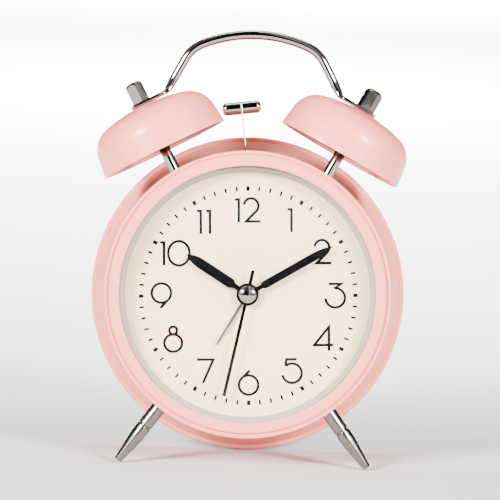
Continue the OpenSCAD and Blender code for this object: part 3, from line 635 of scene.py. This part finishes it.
def bells():
    for side, label in ((-1, "left"), (1, "right")):
        outer, inner = bell_side(0.0), bell_side(BELL_T)
        lip = line((BELL_R - 0.12, 0.03), (BELL_R - 0.35, -0.02), (BELL_R - BELL_T + 0.25, 0.02))
        outside = list(reversed(outer[1:])) + lip
        turns = 200
        shell = lathe(f"{label}_bell_shell", outside + inner[1:], bell_frame(side), turns)
        # The inner surfaces of the shell take the near-black inside colour, which is painted shade in the bell's
        # hollow
        inside_shade_mask = shell.data.attributes.new("inside", "FLOAT", "POINT")
        count = len(shell.data.vertices)
        inside_shade_mask.data.foreach_set("value", [float(i // turns > len(outside)) for i in range(count)])
        dress(shell, MATERIALS["bell_paint"], "case", "bell_paint", f"{label}_bell")
        post = rounded([(1.62, -11.2, 0), (2.1, -11.2, 0), (2.1, 16.7, 0.15), (1.62, 16.7, 0)], 3)
        tube = lathe(f"{label}_post_tube", post, bell_frame(side), 64)
        dress(tube, MATERIALS["chrome"], "case", "chrome", f"{label}_bell_post")
        nut = acorn_nut(f"{label}_acorn_nut", side)
        dress(nut, MATERIALS["chrome_satin"], "case", "chrome", f"{label}_cap_nut")


NUT_FLATS, NUT_H, TAB_T = 6.2, 7.8, 1.4
# How far each hexagon is turned about its screw, left and right
NUT_TURN = {-1: 8, 1: 24}


def acorn_nut(name, side):
    """Tall hexagonal nut with a chamfered foot and a domed, rounded end."""
    base = BELL_H + TAB_T
    turned = rounded([(0, 0, 0), (3.3, 0, 0), (3.62, 0.3, 0), (3.62, NUT_H, 2.3), (0, NUT_H + 0.25, 0)], 12)
    nut = lathe(name, turned, bell_frame(side) @ move(0, 0, base), 96, closed=False)
    hexagon = bmesh.new()
    bmesh.ops.create_cone(hexagon, cap_ends=True, segments=6, radius1=NUT_FLATS / math.sqrt(3),
                          radius2=NUT_FLATS / math.sqrt(3), depth=3 * NUT_H)
    bmesh.ops.rotate(hexagon, verts=hexagon.verts, cent=(0, 0, 0),
                     matrix=Matrix.Rotation(math.radians(NUT_TURN[side]), 3, "Z"))
    tool = finish_mesh(hexagon, "hexagon_tool", bell_frame(side) @ move(0, 0, base))
    carve(nut, tool, "INTERSECT")
    soften(nut, 0.18)
    return nut


ROD_R = 1.75
HANDLE_TOP, CROWN_R, CROWN_HALF = 97.6, 51.0, 23.0
SHOULDER_R, LEG_ANGLE = 12.5, 28.1


def handle_path():
    """Stations of the right half of the handle: point, heading below horizontal, flattening 0 to 1."""
    stations = []
    crown_c = Vector((0, HANDLE_TOP - CROWN_R))
    for i in range(13):
        a = math.radians(CROWN_HALF * i / 12)
        stations.append((crown_c + CROWN_R * Vector((math.sin(a), math.cos(a))), a, 0.0))
    shoulder_c = crown_c + (CROWN_R - SHOULDER_R) * Vector((math.sin(a), math.cos(a)))
    leg_heading = 90 - LEG_ANGLE
    for i in range(1, 15):
        a = math.radians(CROWN_HALF + (leg_heading - CROWN_HALF) * i / 14)
        stations.append((shoulder_c + SHOULDER_R * Vector((math.sin(a), math.cos(a))), a, 0.0))
    heading = math.radians(leg_heading)
    along = Vector((math.cos(heading), -math.sin(heading)))
    leg_top = stations[-1][0]
    # The tab's middle line in the clock frame
    tilt = math.radians(BELL_TILT)
    axis, across = Vector((math.sin(tilt), math.cos(tilt))), Vector((math.cos(tilt), -math.sin(tilt)))
    nut_foot = Vector((BELL_X, BELL_Z)) + axis * (BELL_H + TAB_T / 2)
    # Where the leg's line meets the tab's line
    gap = nut_foot - leg_top
    leg_len = (gap.x * across.y - gap.y * across.x) / (along.x * across.y - along.y * across.x)
    corner = leg_top + along * leg_len
    bend_r = 3.6
    swing = heading - tilt
    setback = bend_r * math.tan(swing / 2)
    for i in range(1, 9):
        s = i / 8
        stations.append((leg_top + along * (leg_len - setback) * s, heading, max(0.0, (s - 0.7) / 0.3) * 0.3))
    bend_c = corner - along * setback + bend_r * Vector((math.sin(heading), math.cos(heading)))
    for i in range(1, 9):
        s = i / 8
        a = heading - swing * s
        point = bend_c - bend_r * Vector((math.sin(a), math.cos(a)))
        stations.append((point, a, 0.3 + 0.7 * s))
    reach = (nut_foot - stations[-1][0]).dot(across)
    for i in range(1, 4):
        stations.append((stations[-1][0] + across * reach / 3, tilt, 1.0))
    return stations, across, tilt


def handle():
    """Chrome rod swept along its arcs and pressed flat into a rounded tab under each nut."""
    half, across, tilt = handle_path()
    tab_half, tab_end, corner_r = 3.75, 4.55, 1.0
    end = half[-1][0]
    half.append((end + across * (tab_end - corner_r), tilt, 1.0))
    for i in range(1, 7):
        a = math.pi / 2 * i / 6
        half.append((end + across * (tab_end - corner_r + corner_r * math.sin(a)), tilt,
                     1.0 + corner_r * (1 - math.cos(a))))
    sides = 36
    bm = bmesh.new()
    rings = []
    for sign in (-1, 1):
        for point, heading, flat in (reversed(half[1:]) if sign < 0 else half):
            press = min(flat, 1.0)
            width = ROD_R + (tab_half - ROD_R) * press
            if flat > 1.0:
                width = tab_half - (flat - 1.0)
            thick = ROD_R + (TAB_T / 2 - ROD_R) * press ** 0.8
            power = 2 / (2 + 5 * press)
            ring = []
            for k in range(sides):
                a = 2 * math.pi * k / sides
                c, s = math.cos(a), math.sin(a)
                out = thick * math.copysign(abs(s) ** power, s)
                y = POST_Y + width * math.copysign(abs(c) ** power, c)
                up = Vector((math.sin(heading), math.cos(heading)))
                p = point + up * out
                ring.append(bm.verts.new((sign * p.x, y, p.y)))
            rings.append(ring)
    for a, b in zip(rings, rings[1:]):
        for k in range(sides):
            n = (k + 1) % sides
            bm.faces.new((a[k], a[n], b[n], b[k]))
    bm.faces.new(rings[0])
    bm.faces.new(list(reversed(rings[-1])))
    rod = finish_mesh(bm, "handle_rod", CLOCK, 50)
    dress(rod, MATERIALS["chrome"], "case", "chrome", "handle")


# ---------------------------------------------------------------- feet and hammer

def feet():
    """Turned chrome feet: a groove, a long taper and a flat rounded tip."""
    for side, label in ((-1, "left"), (1, "right")):
        length = foot_length(side)
        profile = rounded([
            (0, -0.6, 0), (2.75, -0.6, 0), (2.75, 9.35, 0.25), (2.3, 9.6, 0.1), (2.3, 10.0, 0.1),
            (2.75, 10.25, 0.25), (2.75, 14.4, 1.2), (1.45, length, 0.3), (0, length, 0)], 5)
        leg = lathe(f"{label}_turned_foot", profile, foot_frame(side), 96, closed=False)
        dress(leg, MATERIALS["chrome_satin"], "case", "chrome", f"{label}_foot")


def foot_length(side):
    """Length of the CAD foot outside the case, along its own axis."""
    label = "left" if side < 0 else "right"
    to_foot = foot_frame(side).inverted()
    return max((to_foot @ v.co).z for v in nodes[f"{label}_foot"].data.vertices)


HEAD_R, HEAD_HALF, HAMMER_REACH, HEAD_BACK = 2.4, 7.3, 34.3, 2.3


def hammer():
    place = HAMMER @ move(-HEAD_HALF, HEAD_BACK, HAMMER_REACH) @ turn(90, "Y")
    profile = rounded([(0, 0, 0), (HEAD_R, 0, 1.7), (HEAD_R, 2 * HEAD_HALF, 1.7), (0, 2 * HEAD_HALF, 0)], 10)
    head = lathe("hammer_cylinder", profile, place, 72, closed=False)
    dress(head, MATERIALS["chrome"], "hammer", "chrome", "hammer_head")
    rod = rounded([(0, 2.4, 0), (0.3, 2.4, 0.1), (0.3, HAMMER_REACH + 1.7, 0.2), (0, HAMMER_REACH + 1.7, 0)], 4)
    wire = lathe("hammer_wire", rod, HAMMER, 24, closed=False)
    dress(wire, MATERIALS["chrome"], "hammer", "chrome", "hammer_rod")


# ---------------------------------------------------------------- back

KNOB_FRONT, KNOB_H = 46.0, 7.0
KNOB_TEETH, KNURL_DEPTH = 30, 0.32
BACK_FACE = CLOCK @ turn(180, "Z")
COVER_FACE = 45.0
ARROW_R = 10.2


def knobs():
    """Knurled setting knobs with a chamfered, dished face."""
    for name in ("time", "alarm"):
        spin = joint(f"{name}_knob_turn")
        at = CLOCK.inverted() @ Vector(spin["pos_m"])
        place = CLOCK @ move(at.x, 0, at.z) @ turn(-90, "X")
        steps = 240
        back = KNOB_FRONT + KNOB_H
        levels = [(KNOB_FRONT, 5.2, 0.0), (KNOB_FRONT + 0.4, 5.75, 0.2), (KNOB_FRONT + 0.9, 6.0, 1.0),
                  (back - 1.0, 6.0, 1.0), (back - 0.4, 5.8, 0.3), (back, 5.2, 0.0), (back, 4.6, 0.0),
                  (back - 0.7, 4.0, 0.0), (back - 0.8, 0.6, 0.0)]
        bm = bmesh.new()
        rings = []
        for depth, radius, knurl in levels:
            ring = []
            for k in range(steps):
                a = 2 * math.pi * k / steps
                r = radius + knurl * KNURL_DEPTH * math.cos(KNOB_TEETH * a)
                ring.append(bm.verts.new((r * math.cos(a), r * math.sin(a), depth)))
            rings.append(ring)
        for a, b in zip(rings, rings[1:]):
            for k in range(steps):
                n = (k + 1) % steps
                bm.faces.new((a[k], a[n], b[n], b[k]))
        bm.faces.new(rings[0])
        bm.faces.new(list(reversed(rings[-1])))
        knob = finish_mesh(bm, f"{name}_knurled_knob", place, 40)
        dress(knob, MATERIALS["black_plastic"], f"{name}_knob", "black_plastic", f"{name}_set_knob")


def clock_box(name):
    """Lowest and highest corners of a CAD node in the clock frame, mm."""
    corners = [CLOCK.inverted() @ v.co for v in nodes[name].data.vertices]
    return tuple(Vector([pick(c[i] for c in corners) for i in range(3)]) for pick in (min, max))


def pill(centre, length, width):
    """Outline of a bar with round ends lying along X."""
    reach = (length - width) / 2
    return (bowl((centre[0] + reach, centre[1]), width / 2, width / 2, -90, 90, 10)
            + bowl((centre[0] - reach, centre[1]), width / 2, width / 2, 90, 270, 10))


def back_details():
    """Grip ribs on the battery door, collars and turning arrows at the knobs, a frame round the switch."""
    low, high = clock_box("battery_door")
    ribs = [pill((0, high.z - 4.4 - 1.5 * i), 15 - 1.6 * i, 0.7) for i in range(5)]
    grip = slab("door_grip_ribs", ribs, -high.y - 0.32, -high.y + 0.2, BACK_FACE, 0.15)
    dress(grip, MATERIALS["white_plastic"], "battery_door", "white_plastic")
    face = COVER_FACE
    for name in ("time", "alarm"):
        at = CLOCK.inverted() @ Vector(joint(f"{name}_knob_turn")["pos_m"])
        place = CLOCK @ move(at.x, 0, at.z) @ turn(-90, "X")
        ring = rounded([
            (7.5, face - 0.1, 0), (7.5, face + 0.45, 0.2), (8.3, face + 0.45, 0.2), (8.3, face - 0.1, 0)], 3)
        collar = lathe(f"{name}_knob_collar", ring, place, 96)
        dress(collar, MATERIALS["white_plastic"], "case", "white_plastic")
        sweep = bowl((-at.x, at.z), ARROW_R, ARROW_R, 150, 40, 20)
        tip = bowl((-at.x, at.z), ARROW_R, ARROW_R, 40, 24, 1)
        outward = (tip[0] - Vector((-at.x, at.z))).normalized()
        head = [tip[0] + outward * 1.2, tip[0] - outward * 1.2, tip[1]]
        arrow = slab(f"{name}_turning_arrow", [ribbon(sweep, 0.7), head], -face - 0.25, -face + 0.1, BACK_FACE)
        dress(arrow, MATERIALS["white_plastic"], "case", "white_plastic")
    low, high = clock_box("alarm_switch_slider")
    middle = (low.z + high.z) / 2
    outer, inner = pill((0, middle), 19, 7.4), pill((0, middle), 17.4, 5.8)
    frame_ring = slab_ring("switch_surround", outer, inner, -face - 0.5, -face + 0.1)
    dress(frame_ring, MATERIALS["white_plastic"], "case", "white_plastic")


def slab_ring(name, outer, inner, front, back):
    """Flat closed band between two outlines with the same number of corners, seen from the back."""
    bm = bmesh.new()
    loops = [[bm.verts.new((p[0], depth, p[1])) for p in outline]
             for outline, depth in ((outer, back), (outer, front), (inner, front), (inner, back))]
    for a, b in zip(loops, loops[1:] + loops[:1]):
        for k in range(len(a)):
            n = (k + 1) % len(a)
            bm.faces.new((a[k], a[n], b[n], b[k]))
    return finish_mesh(bm, name, BACK_FACE, 40)


def round_cad_edges():
    """Small moulded or broken edges on the CAD pieces that show as they are."""
    for name, width in (("back_cover", 0.25), ("battery_door", 0.25), ("alarm_switch_slider", 0.15),
                        ("back_cover_screws", 0.2)):
        piece = nodes[name]
        weld = piece.modifiers.new("weld", "WELD")
        weld.merge_threshold = 1e-6
        soften(piece, width, 40, 2)


# ---------------------------------------------------------------- light, floor and camera

def area_light(name, place, target, size, power, spread_angle=180):
    data = bpy.data.lights.new(name, "AREA")
    data.shape = "RECTANGLE"
    data.size, data.size_y = size
    data.energy = power
    data.spread = math.radians(spread_angle)
    lamp = bpy.data.objects.new(name, data)
    lamp.location = place
    lamp.rotation_euler = (Vector(target) - Vector(place)).to_track_quat("-Z", "Y").to_euler()
    bpy.context.scene.collection.objects.link(lamp)


def studio():
    """Pale floor, two soft boxes in front, three lamps over the floor, and a dim room for the chrome."""
    bm = bmesh.new()
    bmesh.ops.create_circle(bm, cap_ends=True, segments=64, radius=12.0)
    floor = finish_mesh(bm, "studio_floor", Matrix.Translation((0, 0, cad_bounds[0][2] - 0.0002)))
    pale, _, shader = new_material("studio_floor")
    shader.inputs["Base Color"].default_value = (0.62, 0.62, 0.62, 1)
    shader.inputs["Roughness"].default_value = 0.85
    shader.inputs["Specular IOR Level"].default_value = 0.1
    floor.data.materials.append(pale)
    middle = (0, 0, 0.08)
    area_light("left_box", (-0.88, -1.0, 0.66), middle, (0.42, 0.42), 82)
    area_light("right_box", (0.88, -1.0, 0.62), middle, (0.40, 0.40), 66)
    area_light("near_wash", (0, 0.25, 0.9), (0, 0.95, 0), (0.6, 0.3), 34, 110)
    area_light("middle_wash", (0, 1.8, 1.7), (0, 1.8, 0), (0.8, 1.0), 120, 64)
    area_light("far_backdrop", (0, 3.9, 3.0), (0, 3.9, 0), (1.5, 1.5), 420, 56)
    room()


ROOM_LEVEL = 0.9
# Brightness of the room by direction, in degrees from straight in front of the dial
ROOM_BANDS = [(-180, 0.02), (-100, 0.03), (-94, 0.2), (-28, 0.2), (-24, 0.01), (8, 0.01), (11, 1.0), (20, 1.0),
              (23, 0.01), (66, 0.01), (70, 1.0), (84, 1.0), (90, 0.03), (180, 0.02)]


def room():
    """Dim room with upright windows of light and dark that the chrome mirrors."""
    world = bpy.data.worlds.new("studio")
    world.use_nodes = True
    tree = world.node_tree
    background = tree.nodes["Background"]
    background.inputs["Color"].default_value = (0.93, 0.93, 0.95, 1)
    direction = tree.nodes.new("ShaderNodeTexCoord")
    split = tree.nodes.new("ShaderNodeSeparateXYZ")
    turned = tree.nodes.new("ShaderNodeMath")
    turned.operation = "ARCTAN2"
    ramp = tree.nodes.new("ShaderNodeMapRange")
    ramp.inputs["From Min"].default_value = -math.pi
    ramp.inputs["From Max"].default_value = math.pi
    bands = tree.nodes.new("ShaderNodeValToRGB")
    bands.color_ramp.interpolation = "LINEAR"
    stops = bands.color_ramp.elements
    while len(stops) < len(ROOM_BANDS):
        stops.new(0.5)
    for stop, (azimuth, level) in zip(stops, ROOM_BANDS):
        stop.position = (azimuth + 180) / 360
        stop.color = (level, level, level, 1)
    strength = tree.nodes.new("ShaderNodeMath")
    strength.operation = "MULTIPLY"
    strength.inputs[1].default_value = ROOM_LEVEL
    tree.links.new(direction.outputs["Generated"], split.inputs["Vector"])
    tree.links.new(split.outputs["X"], turned.inputs[0])
    flip = tree.nodes.new("ShaderNodeMath")
    flip.operation = "MULTIPLY"
    flip.inputs[1].default_value = -1.0
    tree.links.new(split.outputs["Y"], flip.inputs[0])
    tree.links.new(flip.outputs["Value"], turned.inputs[1])
    tree.links.new(turned.outputs["Value"], ramp.inputs["Value"])
    tree.links.new(ramp.outputs["Result"], bands.inputs["Fac"])
    tree.links.new(bands.outputs["Color"], strength.inputs[0])
    tree.links.new(strength.outputs["Value"], background.inputs["Strength"])
    bpy.context.scene.world = world


CAMERA_DISTANCE = 1300.0
CAMERA_RISE = 16.6
CAMERA_SIDE = 0.4
CAMERA_ROLL = 1.8
FOCAL_PER_WIDTH = 7.0


def camera():
    """Long lens on the dial axis, a little above the dial's middle, rolled slightly."""
    data = bpy.data.cameras.new("camera")
    data.sensor_width = 36.0
    data.lens = 36.0 * FOCAL_PER_WIDTH
    data.clip_end = 50
    view = bpy.data.objects.new("camera", data)
    bpy.context.scene.collection.objects.link(view)
    place = CLOCK @ Vector((CAMERA_SIDE, -CAMERA_DISTANCE, CAMERA_RISE))
    basis = CLOCK.to_3x3() @ Matrix.Scale(1 / MM, 3)
    right, back, up = basis.col[0], basis.col[1], basis.col[2]
    rotation = Matrix((right, up, -back)).transposed().to_4x4()
    rotation = rotation @ turn(CAMERA_ROLL, "Z")
    rotation.translation = place
    view.matrix_world = rotation
    bpy.context.scene.camera = view


material_cad_nodes()
case_shell()
bezel()
lens()
spacer()
dial()
dial_print()
hands()
centre_cap()
bells()
handle()
feet()
hammer()
knobs()
back_details()
round_cad_edges()
studio()
camera()
